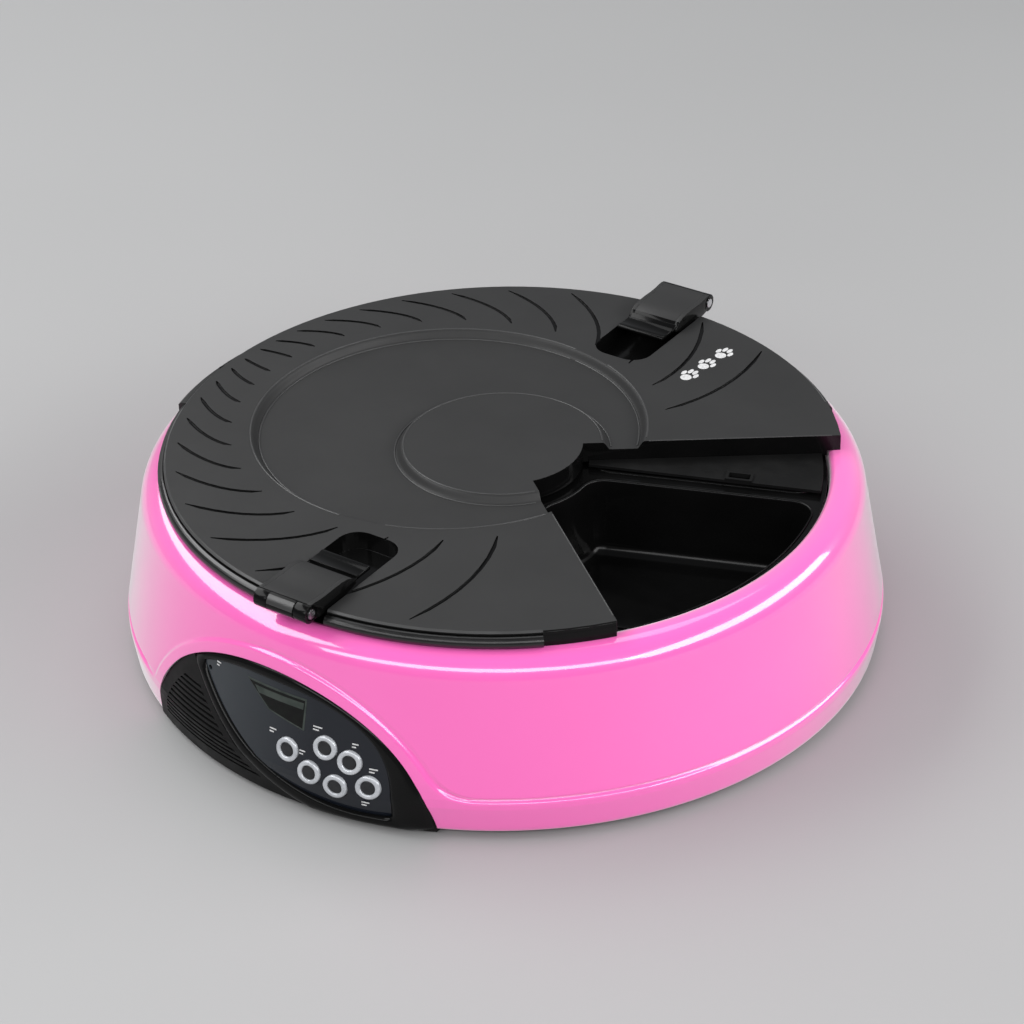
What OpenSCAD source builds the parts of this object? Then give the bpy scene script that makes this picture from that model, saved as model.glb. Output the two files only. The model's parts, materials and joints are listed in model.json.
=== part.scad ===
// Automatic pet feeder: six bowls turn under a latched lid that opens over one of them.
// Millimetres, +Z up, origin on the floor at the centre. The control panel faces -Y and
// the lid's opening faces +X.

/* [Ring] */
// Largest radius, at the belt
belt_r = 162; // [150:1:200]
// Height of the ring's lip above the floor
lip_z = 77.5; // [76:0.5:95]
// Height of the belt line
belt_z = 18.7; // [14:0.1:24]
// Lean of the wall above the belt, in degrees
lean = 10.8; // [6:0.1:14]
// Rounding between the wall and the lip
lip_round = 11; // [8:0.5:14]
// Distance from the belt in to the well
ring_w = 25.1; // [23:0.1:40]
// Thickness of the ring's wall
wall = 2.5; // [1.8:0.1:3.2]
// Gap between the floor and the casing
base_z = 4; // [3:0.5:8]

/* [Control panel] */
// Half the width of the panel, seen from the front
panel_a = 71; // [62:1:80]
// Height of the panel above the floor
panel_b = 58.8; // [55:0.2:62]
// Play around the panel
panel_gap = 0.3; // [0.1:0.1:0.6]
// Height that the moulded border stands out
border_h = 0.9; // [0.4:0.1:1.4]
// Diameter of a button
button_d = 10; // [8:0.2:11]
// Travel of a button
button_travel = 1; // [0.4:0.1:1.2]
// Play around a button
button_gap = 0.25; // [0.15:0.05:0.5]
// Number of slots in the speaker grille
grille_count = 12; // [6:1:13]
// Diameter of the loudspeaker
speaker_d = 26; // [18:1:28]

/* [Lid] */
// Height of the lid's top above the ring's lip
lid_rise = 7.2; // [7:0.1:12]
// Overhang of the ring's belt past the lid's top edge
lid_inset = 20.2; // [18:0.1:34]
// Thickness of the lid's plate
lid_t = 2.2; // [1.6:0.1:3]
// Half the angle of the opening
open_half = 37.5; // [32:0.5:42]
// Radius of the opening's inner end
open_r = 33.7; // [30:0.1:38]
// Radius of the dish
dish_r = 84; // [70:1:90]
// Distance from the lid's centre to the dish's centre
dish_shift = 28; // [20:1:32]
// Depth of the dish
dish_depth = 3.5; // [2:0.1:4]
// Radius of the raised disc at the centre
disc_r = 42; // [40:1:48]
// Width of a latch pocket
pocket_w = 27; // [20:0.5:34]
// Width of a latch
latch_w = 25; // [18:0.5:26]
// Length of a latch, from its pin to its finger lip
latch_l = 40; // [36:0.5:50]
// Diameter of a latch pin
latch_pin_d = 4; // [3:0.1:5]

/* [Tray] */
// Number of bowls
bowl_count = 6; // [4:1:8]
// Play between the tray and the well
tray_gap = 1; // [0.6:0.1:2]
// Depth of a bowl
bowl_depth = 33; // [24:0.5:33.5]
// Half the width of the land between two bowls
land_half = 4.2; // [3.5:0.1:8]
// Radius of a bowl's inner end
bowl_in_r = 39; // [37:0.5:48]
// Angle of the tray when it stops, in degrees
tray_turn = -7.8; // [-12:0.1:12]

/* [Drive] */
// Gear module
gear_m = 1; // [0.8:0.1:1.2]
// Teeth on the drive gear
gear_teeth = 68; // [60:1:72]
// Teeth on the motor's pinion
pinion_teeth = 12; // [10:1:14]
// Direction of the motor from the centre
motor_dir = -40; // [-60:1:-20]
// Radius of the turntable's shaft
shaft_r = 7; // [6:0.1:9]
// Radial play of a turning shaft
run_gap = 0.06; // [0.02:0.01:0.1]
// Diameter of the motor
motor_d = 32; // [24:1:36]

/* [Power] */
// Diameter of a battery
cell_d = 26.2; // [24:0.1:26.4]
// Length of a battery
cell_l = 50; // [46:0.5:52]
// Thickness of the battery door
door_t = 2.2; // [1.8:0.1:2.4]

/* [Hidden] */
$fn = 96;

eps = 0.01;
// the ring and its well
well_r = belt_r - ring_w;
groove_w = 2;
groove_d = 1.1;
belt_inset = 0.3;
band_taper = 1.7;
band_z = belt_z - 3;
lip_c_z = lip_z - lip_round;
lip_c_r = belt_r - belt_inset - (lip_c_z - belt_z - groove_w / 2) * tan(lean) - lip_round / cos(lean);
skirt_z = lip_z - 15.5;
skirt_t = 2.2;
border_w = 5.5;
fascia_t = 2.2;
// the casing's floor, deck and posts
cover_t = 2.5;
cover_r = belt_r - band_taper - wall - 0.5;
cover_top = base_z + cover_t;
deck_t = 2.5;
deck_z = cover_top + 28.5;
deck_top = deck_z + deck_t;
well_t = 2.4;
post_r = belt_r - 15;
post_d = 8.5;
post_count = 5;
post_step = 60;
post_start = -30;
screw_d = 3;
// the tray and what turns it
washer_t = 0.7;
tray_r = well_r - tray_gap;
tray_z = lip_z - 3.9;
tray_plate = 1.6;
bowl_wall = 1.8;
bowl_corner = 9;
bowl_out_r = tray_r - 3.1;
bowl_floor = tray_z - bowl_depth - 0.6;
rim_h = 0.6;
bowl_fit = 0.05;
hex_r = 14;
hex_gap = 0.4;
hub_top = deck_top + 21;
plate_r = 30;
plate_t = 2.8;
gear_t = 5;
gear_z = deck_z - 1.6 - 0.4 - gear_t;
gear_bore = 5;
gear_dist = gear_m * (gear_teeth + pinion_teeth) / 2 + 0.25;
motor_x = gear_dist * cos(motor_dir);
motor_y = gear_dist * sin(motor_dir);
motor_top = gear_z - 1;
motor_ear = motor_d / 2 + 3;
motor_shaft = 2;
cam_h = 1.6;
switch_z = gear_z - cam_h - 6.8;
switch_x = -33;
switch_y = -19.4;
// the lid
lid_r = belt_r - lid_inset;
lid_z = lip_z + lid_rise;
seat_z = lip_z + 0.1;
bead_r = 2.6;
spigot_r = well_r - 0.6;
spigot_t = 2;
under_z = lip_z - 2.2;
edge_s = 3.2;
open_apex = 2.82 / sin(open_half);
block_half = 48;
guard_dir = 21.5;
guard_off = 4.1;
guard_t = 1.4;
guard_z = under_z - 0.5;
latch_turn = 2;
pocket_l = 53.8;
pocket_floor = under_z + 1.4;
pocket_corner = 9;
hinge_r = lid_r + 7.7;
hinge_z = lid_z + 2.3;
barrel_r = 4;
knuckle_w = 6;
lug_w = latch_w - 2 * knuckle_w - 0.6;
swirl_count = 12;
swirl_w = 1.7;
swirl_h = 0.7;
// the panel's pieces
button_xz = [[10.6, 27.1], [27.3, 32.8], [21.1, 20.4], [38, 29.3], [32.7, 17.5], [46.2, 20.3]];
mic_xz = [-33, 44.9];
window_a = 55;
window_b = 41.5;
window_z = 12;
sweep_xz = [42, 105];
sweep_r = 98;
bezel_w = 6;
recess_d = 1.2;
glue_t = 0.2;
board_t = 1.6;
board_y = -(well_r + well_t + 1.7 + board_t);
board_x = [-18, 54];
board_z = [8, 50];
boss_xz = [[-14, 12], [-14, 46], [32, 46], [50, 10]];
boss_d = 6;
touch_h = 3.2;
touch_w = 6;
lcd_xz = [[-8, 51], [19, 51], [19, 37], [8, 39.5]];
speaker_dir = -12.5;
speaker_h = 6;
// the battery bay
bay_t = 1.8;
bay_gap = 0.5;
bay_x = cell_l + 3.4;
bay_y0 = 42;
bay_w = 2 * cell_d + 3 * bay_gap;
bay_y1 = bay_y0 + bay_w;
door_over = 3;
door_y = bay_y0 - door_over;
door_pin_r = 1.7;
door_gap = 0.4;
contact_t = 0.6;
foot_r = belt_r - 27;
foot_d = 18;

function arc_pts(c, r, a0, a1, n) =
    [for (i = [0:n]) let (a = a0 + (a1 - a0) * i / n) [c[0] + r * cos(a), c[1] + r * sin(a)]];
function oval_pts(a, b, n = 96) = [for (i = [0:n - 1]) [a * cos(360 * i / n), b * sin(360 * i / n)]];
function reverse(p) = [for (i = [len(p) - 1:-1:0]) p[i]];
// the ring's outside, from its foot up to the crest of the lip, moved in by d
function skin(d, groove, foot) = concat(
    [[belt_r - band_taper - d, foot],
     [belt_r - d, band_z],
     [belt_r - d, belt_z - groove_w / 2],
     [belt_r - d - groove, belt_z],
     [belt_r - d - belt_inset, belt_z + groove_w / 2]],
    arc_pts([lip_c_r, lip_c_z], lip_round - d, lean, 90, 12));
// radius of the wall's outside at a height above the belt
function wall_r(z) = belt_r - belt_inset - (z - belt_z - groove_w / 2) * tan(lean);
// a gentle S between two heights, for a moulded step
function step_pts(r0, z0, r1, z1, n = 8) =
    [for (i = [0:n]) [r0 + (r1 - r0) * i / n, z0 + (z1 - z0) * (1 - cos(180 * i / n)) / 2]];
// a wedge between two radii with rounded corners, its sides parallel to the spokes
function bowl_pts(r0, r1, half, side, c) =
    let (ao = asin((side + c) / (r1 - c)), ai = asin((side + c) / (r0 + c)),
        outer = [(r1 - c) * cos(half - ao), (r1 - c) * sin(half - ao)],
        inner = [(r0 + c) * cos(half - ai), (r0 + c) * sin(half - ai)],
        up = concat(arc_pts([0, 0], r1, 0, half - ao, 12), arc_pts(outer, c, half - ao, half + 90, 8),
            arc_pts(inner, c, half + 90, 180 + half - ai, 8), arc_pts([0, 0], r0, half - ai, 0, 6)))
    concat([for (i = [len(up) - 2:-1:1]) [up[i][0], -up[i][1]]], up);
function gear_pts(m, teeth) =
    [for (i = [0:teeth - 1]) for (p = [[-0.25, -1.25], [-0.17, 0.15], [-0.09, 1], [0.09, 1], [0.17, 0.15], [0.25, -1.25]])
        let (a = 360 * (i + p[0]) / teeth, r = m * (teeth / 2 + p[1])) [r * cos(a), r * sin(a)]];

module skin_shell(d0, d1, groove = 0, foot = base_z) {
    rotate_extrude($fn = 180)
        polygon(concat(skin(d0, groove, foot), reverse(skin(d1, 0, foot))));
}

module skin_solid(d, foot = base_z) {
    rotate_extrude($fn = 180)
        polygon(concat([[0, foot]], skin(d, 0, foot), [[0, lip_z - d]]));
}

// what a flat outline, seen from the front, covers of the panel's side
module from_front(depth = 120) {
    rotate([90, 0, 0])
        translate([0, 0, belt_r + 10 - depth])
            linear_extrude(depth)
                children();
}

module panel_outline(grow) {
    polygon(oval_pts(panel_a + grow, panel_b + grow));
}

module outer_ring() {
    color("hotpink")
    difference() {
        union() {
            rotate_extrude($fn = 180)
                polygon(concat(skin(0, groove_d, base_z),
                    [[well_r + 2.2, lip_z], [well_r + 0.5, lip_z - 1.3], [well_r, lip_z - 3],
                     [well_r, skirt_z], [well_r + skirt_t, skirt_z],
                     [well_r + skirt_t, lip_z - wall - 0.8]],
                    reverse(skin(wall, 0, base_z))));
            intersection() {
                skin_shell(-border_h, wall / 2);
                from_front()
                    difference() {
                        panel_outline(border_w);
                        translate([-belt_r, belt_z - belt_r])
                            square([2 * belt_r, belt_r]);
                    }
            }
            for (i = [0:post_count - 1])
                rotate(post_start + i * post_step)
                    translate([post_r, 0, deck_top])
                        cylinder(d = post_d, h = lip_c_z - 1 - deck_top);
        }
        from_front()
            panel_outline(0);
        for (i = [0:post_count - 1])
            rotate(post_start + i * post_step)
                translate([post_r, 0, deck_top - eps])
                    cylinder(d = screw_d, h = 12, $fn = 32);
    }
}

module base_housing() {
    color("dimgray")
    difference() {
        union() {
            translate([0, 0, deck_z])
                cylinder(r = well_r + well_t, h = deck_t);
            difference() {
                translate([0, 0, deck_z])
                    cylinder(r = post_r + post_d / 2 + 1, h = deck_t);
                translate([-panel_a, -belt_r, deck_z - 1])
                    cube([2 * panel_a, belt_r - well_r, deck_t + 2]);
            }
            for (i = [0:post_count - 1])
                rotate(post_start + i * post_step)
                    translate([post_r, 0, cover_top])
                        cylinder(d = post_d, h = deck_z + 1 - cover_top);
            translate([0, 0, deck_z - 1.6])
                cylinder(r = shaft_r + 4, h = 2);
            for (s = [-1, 1])
                rotate(motor_dir)
                    translate([gear_dist, s * motor_ear, motor_top])
                        cylinder(d = 7, h = deck_z + 1 - motor_top);
        }
        translate([0, 0, deck_z - 5])
            cylinder(r = shaft_r + run_gap, h = 12);
        for (i = [0:post_count - 1])
            rotate(post_start + i * post_step)
                translate([post_r, 0, cover_top - 1])
                    cylinder(d = screw_d + 0.4, h = 60, $fn = 32);
        for (s = [-1, 1])
            rotate(motor_dir)
                translate([gear_dist, s * motor_ear, motor_top - 1])
                    cylinder(d = 2.2, h = 7, $fn = 32);
    }
}

// the wall round the tray: it stands on the deck and takes the ring's skirt in its top
module tray_well() {
    color("dimgray")
    rotate_extrude($fn = 180)
        polygon([[well_r, deck_top], [well_r + well_t, deck_top],
            [well_r + well_t, skirt_z - 4], [well_r + skirt_t + 1.6, skirt_z - 4],
            [well_r + skirt_t + 1.6, skirt_z + 4], [well_r + skirt_t + 0.1, skirt_z + 4],
            [well_r + skirt_t + 0.1, skirt_z], [well_r, skirt_z]]);
}

module bay_box(grow, z0, z1) {
    translate([-bay_x - grow, bay_y0 - grow, z0])
        cube([2 * (bay_x + grow), bay_w + 2 * grow, z1 - z0]);
}

module bottom_cover() {
    color("dimgray")
    difference() {
        union() {
            difference() {
                translate([0, 0, base_z])
                    cylinder(r = cover_r, h = cover_t);
                bay_box(door_over + door_gap, base_z - 1, base_z + door_t + 0.1);
                // room for the door's hinged edge to turn down
                translate([-bay_x - door_over - door_gap, door_y - door_pin_r - door_gap, base_z - 1])
                    cube([2 * (bay_x + door_over + door_gap), door_pin_r + door_over, door_t + 1.1]);
            }
            difference() {
                bay_box(bay_t, base_z + door_t + 0.1, deck_z - 0.2);
                bay_box(0, base_z, deck_z - 0.2 - 1.4);
            }
            for (y = [bay_y0 - door_over - 6, bay_y1 + 1])
                translate([-bay_x - bay_t, y, base_z + door_t + 0.1])
                    cube([2 * (bay_x + bay_t), 5 + bay_t, cover_t]);
            translate([switch_x + 0.6, switch_y - 0.6, base_z + 1])
                cube([5.4, 14, switch_z - base_z - 1]);
        }
        bay_box(0, base_z - 1, base_z + door_t + 5);
        for (x = [-bay_x + 8, bay_x - 8 - 14])
            translate([x - door_gap, door_y, base_z + door_t / 2 + 0.6])
                rotate([0, 90, 0])
                    cylinder(r = door_pin_r + door_gap, h = 14 + 2 * door_gap, $fn = 48);
        translate([-9, bay_y1 + door_over - 1, base_z - 1])
            cube([18, 7, cover_t]);
        for (a = [45:90:315])
            rotate(a)
                translate([foot_r, 0, base_z - 1])
                    cylinder(d = foot_d + 0.2, h = 2.2);
        for (i = [0:post_count - 1])
            rotate(post_start + i * post_step)
                translate([post_r, 0, base_z - 1]) {
                    cylinder(d = screw_d + 0.4, h = 8, $fn = 32);
                    cylinder(d = 6.4, h = 2.2, $fn = 48);
                }
    }
}

module battery_door() {
    color("dimgray")
    union() {
        bay_box(door_over, base_z, base_z + door_t);
        for (x = [-bay_x + 8, bay_x - 8 - 14])
            translate([x, door_y, base_z + door_t / 2 + 0.6])
                rotate([0, 90, 0])
                    cylinder(r = door_pin_r, h = 14, $fn = 48);
        translate([-8, bay_y1 + door_over - 1, base_z + 0.2])
            cube([16, 4.6, 1.2]);
    }
}

module foot(i) {
    color("black")
    rotate(45 + 90 * (i - 1))
        translate([foot_r, 0, 0])
            rotate_extrude()
                polygon([[0, 0], [foot_d / 2 - 1.5, 0], [foot_d / 2 - 0.4, 0.6], [foot_d / 2, 1.8],
                    [foot_d / 2, base_z + 1.1], [0, base_z + 1.1]]);
}

module base_screws() {
    color("silver")
    for (i = [0:post_count - 1])
        rotate(post_start + i * post_step)
            translate([post_r, 0, base_z + 0.2])
                difference() {
                    union() {
                        cylinder(d = screw_d - 0.04, h = deck_top + 9 - base_z, $fn = 32);
                        cylinder(d1 = 5.6, d2 = 6, h = 1, $fn = 48);
                    }
                    translate([0, 0, -eps])
                        cylinder(d = 2.4, h = 0.7, $fn = 6);
                }
}

// the lid's opening, its edges moved out by grow
module opening_2d(grow) {
    far = 2 * belt_r;
    tip = open_apex - grow / sin(open_half);
    difference() {
        polygon([[tip, 0], [tip + far * cos(open_half), far * sin(open_half)],
            [tip + far * cos(open_half), -far * sin(open_half)]]);
        circle(r = open_r - grow);
    }
}

module pie_2d(r, a0, a1) {
    polygon(concat([[0, 0]], arc_pts([0, 0], r, a0, a1, 24)));
}

module pocket_2d(grow, r_out) {
    r_in = lid_r - pocket_l - grow;
    w = pocket_w / 2 + grow;
    c = pocket_corner + grow;
    polygon(concat([[r_out, -w]], [[r_out, w]],
        arc_pts([r_in + c, w - c], c, 90, 180, 8), arc_pts([r_in + c, c - w], c, 180, 270, 8)));
}

module at_latches() {
    for (a = [-90 + latch_turn, 90 + latch_turn])
        rotate(a)
            children();
}

// one swirl: k counts from the grip round to the opening, side is -1 or 1
module swirl(k, side) {
    turn = 2.2 + 3.6 * k + 0.57 * k * k;
    sweep = 13.5 * (1 - exp(-turn / 20));
    a_in = turn + sweep;
    reach = dish_r + 8.5;
    r_out = lid_r - 5;
    r_in = dish_shift * cos(a_in) + sqrt(reach * reach - pow(dish_shift * sin(a_in), 2));
    n = 8;
    mid = [for (i = [0:n]) let (t = i / n, a = 180 - side * (turn + sweep * (1 - pow(1 - t, 1.4))),
        r = r_out + (r_in - r_out) * t) [r * cos(a), r * sin(a)]];
    half = [for (i = [0:n]) swirl_w / 2 * (i == 0 || i == n ? 0.35 : 1)];
    dirs = [for (i = [0:n]) let (d = mid[min(i + 1, n)] - mid[max(i - 1, 0)]) d / norm(d)];
    polygon(concat([for (i = [0:n]) mid[i] + half[i] * [-dirs[i][1], dirs[i][0]]],
        [for (i = [n:-1:0]) mid[i] - half[i] * [-dirs[i][1], dirs[i][0]]]));
}

module dish_cut() {
    difference() {
        translate([-dish_shift, 0, 0])
            rotate_extrude($fn = 180)
                polygon(concat([[0, lid_z - dish_depth]],
                    step_pts(dish_r - edge_s, lid_z - dish_depth, dish_r, lid_z),
                    [[dish_r, lid_z + 5], [0, lid_z + 5]]));
        rotate_extrude($fn = 128)
            polygon(concat([[0, lid_z - dish_depth - 1], [disc_r + edge_s, lid_z - dish_depth - 1]],
                step_pts(disc_r + edge_s, lid_z - dish_depth, disc_r, lid_z - 0.2), [[0, lid_z - 0.2]]));
    }
}

module lid_plate() {
    rotate_extrude($fn = 180)
        polygon(concat([[0, lid_z - lid_t], [0, lid_z], [lid_r - 0.8, lid_z], [lid_r, lid_z - 0.8],
                [lid_r, lid_z - 2.3]],
            arc_pts([lid_r + 0.1, seat_z + bead_r], bead_r, 82, -90, 12),
            [[spigot_r, seat_z], [spigot_r, under_z], [spigot_r - spigot_t, under_z],
             [spigot_r - spigot_t, lid_z - lid_t]]));
}

module lid_walls() {
    difference() {
        translate([0, 0, under_z])
            linear_extrude(lid_z - lid_t / 2 - under_z)
                intersection() {
                    difference() {
                        opening_2d(2);
                        opening_2d(0);
                    }
                    circle(r = spigot_r - 0.5);
                }
        translate([0, 0, guard_z - 1])
            linear_extrude(guard_t + 1)
                guard_2d();
    }
}

module lid() {
    color("dimgray")
    difference() {
        union() {
            lid_plate();
            translate([-dish_shift, 0, lid_z - dish_depth - lid_t])
                cylinder(r = dish_r + 1, h = dish_depth + 1);
            // square ends beside the opening, in place of the bead
            translate([0, 0, seat_z])
                linear_extrude(lid_z - seat_z)
                    difference() {
                        pie_2d(lid_r, -block_half, block_half);
                        circle(r = spigot_r - spigot_t);
                    }
            lid_walls();
            at_latches()
                translate([0, 0, under_z])
                    linear_extrude(lid_z - 1 - under_z)
                        pocket_2d(1.8, spigot_r - 1);
            lid_grip();
        }
        translate([0, 0, under_z - 5])
            linear_extrude(30)
                opening_2d(0);
        // the bead stops at the square ends
        translate([0, 0, seat_z - 1])
            linear_extrude(lid_z - seat_z)
                difference() {
                    pie_2d(lid_r + 9, -block_half, block_half);
                    circle(r = lid_r + 0.05, $fn = 180);
                }
        dish_cut();
        at_latches()
            translate([0, 0, pocket_floor])
                linear_extrude(20)
                    pocket_2d(0, spigot_r - spigot_t);
        at_latches()
            translate([spigot_r - spigot_t - 1, -pocket_w / 2, seat_z + 1.8])
                cube([30, pocket_w, 20]);
        translate([0, 0, lid_z - swirl_h])
            linear_extrude(2)
                for (side = [-1, 1])
                    for (k = [0:swirl_count - 1])
                        swirl(k, side);
    }
    color("dimgray")
    at_latches()
        lid_lug();
}

// the knuckle on the lid's rim that carries a latch pin
module lid_lug() {
    translate([0, lug_w / 2, 0])
        rotate([90, 0, 0])
            linear_extrude(lug_w)
                difference() {
                    union() {
                        polygon([[spigot_r, seat_z + 1], [spigot_r, seat_z + 3.2],
                            [hinge_r - barrel_r + 0.4, hinge_z + 1.5], [hinge_r, hinge_z],
                            [hinge_r + 1, hinge_z - barrel_r + 0.1], [hinge_r - 3.5, seat_z + 1.2]]);
                        translate([hinge_r, hinge_z])
                            circle(r = barrel_r, $fn = 48);
                    }
                    translate([hinge_r, hinge_z])
                        circle(r = latch_pin_d / 2 + run_gap, $fn = 48);
                }
}

// the crescent on the rim, opposite the opening, that a thumb lifts
module lid_grip() {
    grip_dir = 205;
    grip_shift = 19.6;
    intersection() {
        rotate(grip_dir)
            translate([grip_shift, 0, seat_z])
                rotate_extrude($fn = 180)
                    polygon([[0, 0], [lid_r - 16.6, 0], [lid_r - 15.8, 0.8], [lid_r - 15.8, lid_rise - 2.2],
                        [lid_r - 17, lid_rise - 1.2], [0, lid_rise - 1.2]]);
        translate([0, 0, seat_z])
            linear_extrude(lid_rise)
                difference() {
                    pie_2d(belt_r, 163, 200);
                    circle(r = spigot_r);
                }
    }
}

module guard_2d() {
    difference() {
        pie_2d(spigot_r - spigot_t - 0.2, 10, 47);
        circle(r = open_r + 2.5);
        rotate(guard_dir)
            translate([0, guard_off - 100])
                square([2 * belt_r, 100]);
    }
}

// the fixed plate that closes the gap over the next bowl
module guard_plate() {
    slot_r = 95;
    slot_l = 9;
    slot_w = 4;
    color("dimgray")
    difference() {
        union() {
            translate([0, 0, guard_z])
                linear_extrude(guard_t)
                    guard_2d();
            rotate(guard_dir)
                translate([slot_r - 1.2, guard_off, guard_z])
                    cube([slot_l + 2.4, slot_w + 2.4, guard_t + 0.8]);
        }
        rotate(guard_dir)
            translate([slot_r, guard_off + 1.2, guard_z - 1])
                cube([slot_l, slot_w, guard_t + 3]);
    }
}

// a latch in its own frame: the pin runs along Y at the origin, the paddle lies towards -X
module latch_shape() {
    drop = 1.8;
    bend0 = -10;
    bend1 = -latch_l + 11.5;
    top = concat([[0, barrel_r]], reverse([for (p = step_pts(bend1, barrel_r + 0.4 - drop, bend0, barrel_r + 0.4)) p]));
    low = [for (i = [len(top) - 1:-1:1]) [top[i][0] + 0.5, top[i][1] - 2.2]];
    color("dimgray")
    difference() {
        union() {
            translate([0, latch_w / 2, 0])
                rotate([90, 0, 0])
                    linear_extrude(latch_w)
                        polygon(concat(top, low, [[0, 1.5]]));
            // the thin finger lip, a step lower than the paddle
            translate([-latch_l, -latch_w / 2 + 1, barrel_r - drop - 3.6])
                cube([13.5, latch_w - 2, 1.8]);
            translate([bend1 - 0.5, -latch_w / 2 + 1, barrel_r - drop - 3.6])
                cube([2.2, latch_w - 2, 3.6]);
            // side cheeks that stiffen the paddle
            for (y = [-latch_w / 2, latch_w / 2 - 2])
                translate([0, y + 2, 0])
                    rotate([90, 0, 0])
                        linear_extrude(2)
                            polygon(concat(top, [[bend1, barrel_r - drop - 3.6], [bend1 + 16, -4.4], [-2, -3.4]]));
            for (y = [-latch_w / 2, latch_w / 2 - knuckle_w])
                translate([0, y + knuckle_w, 0])
                    rotate([90, 0, 0])
                        cylinder(r = barrel_r, h = knuckle_w, $fn = 48);
        }
        translate([0, latch_w, 0])
            rotate([90, 0, 0])
                cylinder(d = latch_pin_d, h = 2 * latch_w, $fn = 48);
        translate([0, lug_w / 2 + 0.3, 0])
            rotate([90, 0, 0])
                cylinder(r = barrel_r + 0.4, h = lug_w + 0.6, $fn = 48);
    }
}

module latch_at(a) {
    rotate(a)
        translate([hinge_r, 0, hinge_z])
            children();
}

module latch_pin() {
    color("silver")
    rotate([90, 0, 0])
        translate([0, 0, -latch_w / 2 - 0.3])
            cylinder(d = latch_pin_d, h = latch_w + 0.6, $fn = 48);
}

// a bowl's outline, its side and inner walls grown by one size and its outer wall by another
module bowl_outline(grow, out) {
    polygon(bowl_pts(bowl_in_r - grow, bowl_out_r + out, 180 / bowl_count, land_half - grow,
        bowl_corner + grow));
}

module at_bowls() {
    for (i = [0:bowl_count - 1])
        rotate(tray_turn + 360 * i / bowl_count)
            children();
}

// the tray's plate and skirt, with the hub that the turntable drives
module food_tray() {
    color([0.1, 0.1, 0.1])
    difference() {
        union() {
            translate([0, 0, tray_z - tray_plate])
                cylinder(r = tray_r, h = tray_plate, $fn = 180);
            rotate_extrude($fn = 180)
                polygon([[tray_r - 1.6, tray_z - 8], [tray_r, tray_z - 8], [tray_r, tray_z - 1],
                    [tray_r - 1.6, tray_z - 1]]);
            translate([0, 0, deck_top + washer_t + plate_t + 0.6])
                cylinder(r = hex_r + 3, h = tray_z - deck_top - washer_t - plate_t - 1);
        }
        at_bowls()
            translate([0, 0, tray_z - tray_plate - 1])
                linear_extrude(tray_plate + 2)
                    bowl_outline(bowl_wall + bowl_fit, bowl_wall / 2 + bowl_fit);
        rotate(tray_turn)
            translate([0, 0, deck_top])
                cylinder(r = hex_r + hex_gap, h = hub_top - deck_top + 1, $fn = 6);
    }
}

// the bowls, set in the plate with their rims standing a little above it
module food_bowls() {
    color([0.1, 0.1, 0.1])
    at_bowls()
        difference() {
            translate([0, 0, bowl_floor - bowl_wall])
                linear_extrude(tray_z + rim_h - bowl_floor + bowl_wall)
                    bowl_outline(bowl_wall, bowl_wall / 2);
            translate([0, 0, bowl_floor])
                linear_extrude(bowl_depth + 10)
                    bowl_outline(0, 0);
        }
}

module turntable() {
    color("white")
    difference() {
        union() {
            translate([0, 0, deck_top + washer_t])
                cylinder(r = plate_r, h = plate_t);
            rotate(tray_turn)
                translate([0, 0, deck_top + washer_t])
                    cylinder(r = hex_r, h = hub_top - deck_top - washer_t, $fn = 6);
            translate([0, 0, deck_z - 1.9])
                cylinder(r = shaft_r, h = deck_t + washer_t + 3);
            translate([0, 0, gear_z])
                cylinder(r = gear_bore, h = 12);
        }
        translate([0, 0, gear_z - 1])
            cylinder(d = screw_d, h = 14, $fn = 32);
        translate([0, 0, hub_top - 12])
            cylinder(r = hex_r - 4, h = 20);
    }
}

module thrust_washer() {
    color("ivory")
    translate([0, 0, deck_top])
        difference() {
            cylinder(r = plate_r - 4, h = washer_t);
            translate([0, 0, -1])
                cylinder(r = shaft_r + 0.5, h = 3);
        }
}

module drive_gear() {
    cam_r = gear_m * gear_teeth / 2 - 6;
    color("ivory")
    difference() {
        union() {
            rotate(motor_dir)
                translate([0, 0, gear_z])
                    linear_extrude(gear_t)
                        polygon(gear_pts(gear_m, gear_teeth));
            // the ring whose six notches stop the tray over each bowl
            translate([0, 0, gear_z - cam_h])
                difference() {
                    cylinder(r = cam_r, h = cam_h + 0.4);
                    translate([0, 0, -1])
                        cylinder(r = cam_r - 3, h = 4);
                    for (i = [0:bowl_count - 1])
                        rotate(360 * i / bowl_count)
                            translate([cam_r - 4, -2.5, -1])
                                cube([6, 5, 2.4]);
                }
        }
        translate([0, 0, gear_z - 4])
            cylinder(r = gear_bore, h = gear_t + 8);
        for (i = [0:bowl_count - 1])
            rotate(360 * (i + 0.5) / bowl_count)
                translate([15.5, 0, gear_z - 1])
                    cylinder(r = 5, h = gear_t + 2, $fn = 48);
    }
}

module spindle_screw() {
    color("silver")
    translate([0, 0, gear_z - 1.8])
        difference() {
            union() {
                cylinder(d = screw_d - 0.02, h = 14, $fn = 32);
                cylinder(r = gear_bore + 2, h = 0.7);
                translate([0, 0, -1.8])
                    cylinder(d = 6, h = 2.2);
                translate([0, 0, 0.6])
                    cylinder(d = 9, h = 1.2);
            }
            translate([0, 0, -2])
                cylinder(d = 2.4, h = 1.2, $fn = 6);
        }
}

module motor_pinion() {
    color("white")
    translate([motor_x, motor_y, gear_z])
        rotate(motor_dir + 180 + 180 / pinion_teeth)
            difference() {
                translate([0, 0, -0.4])
                    linear_extrude(gear_t + 0.4)
                        polygon(gear_pts(gear_m, pinion_teeth));
                translate([0, 0, -1])
                    cylinder(r = motor_shaft + run_gap, h = gear_t + 0.2, $fn = 48);
            }
}

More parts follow.
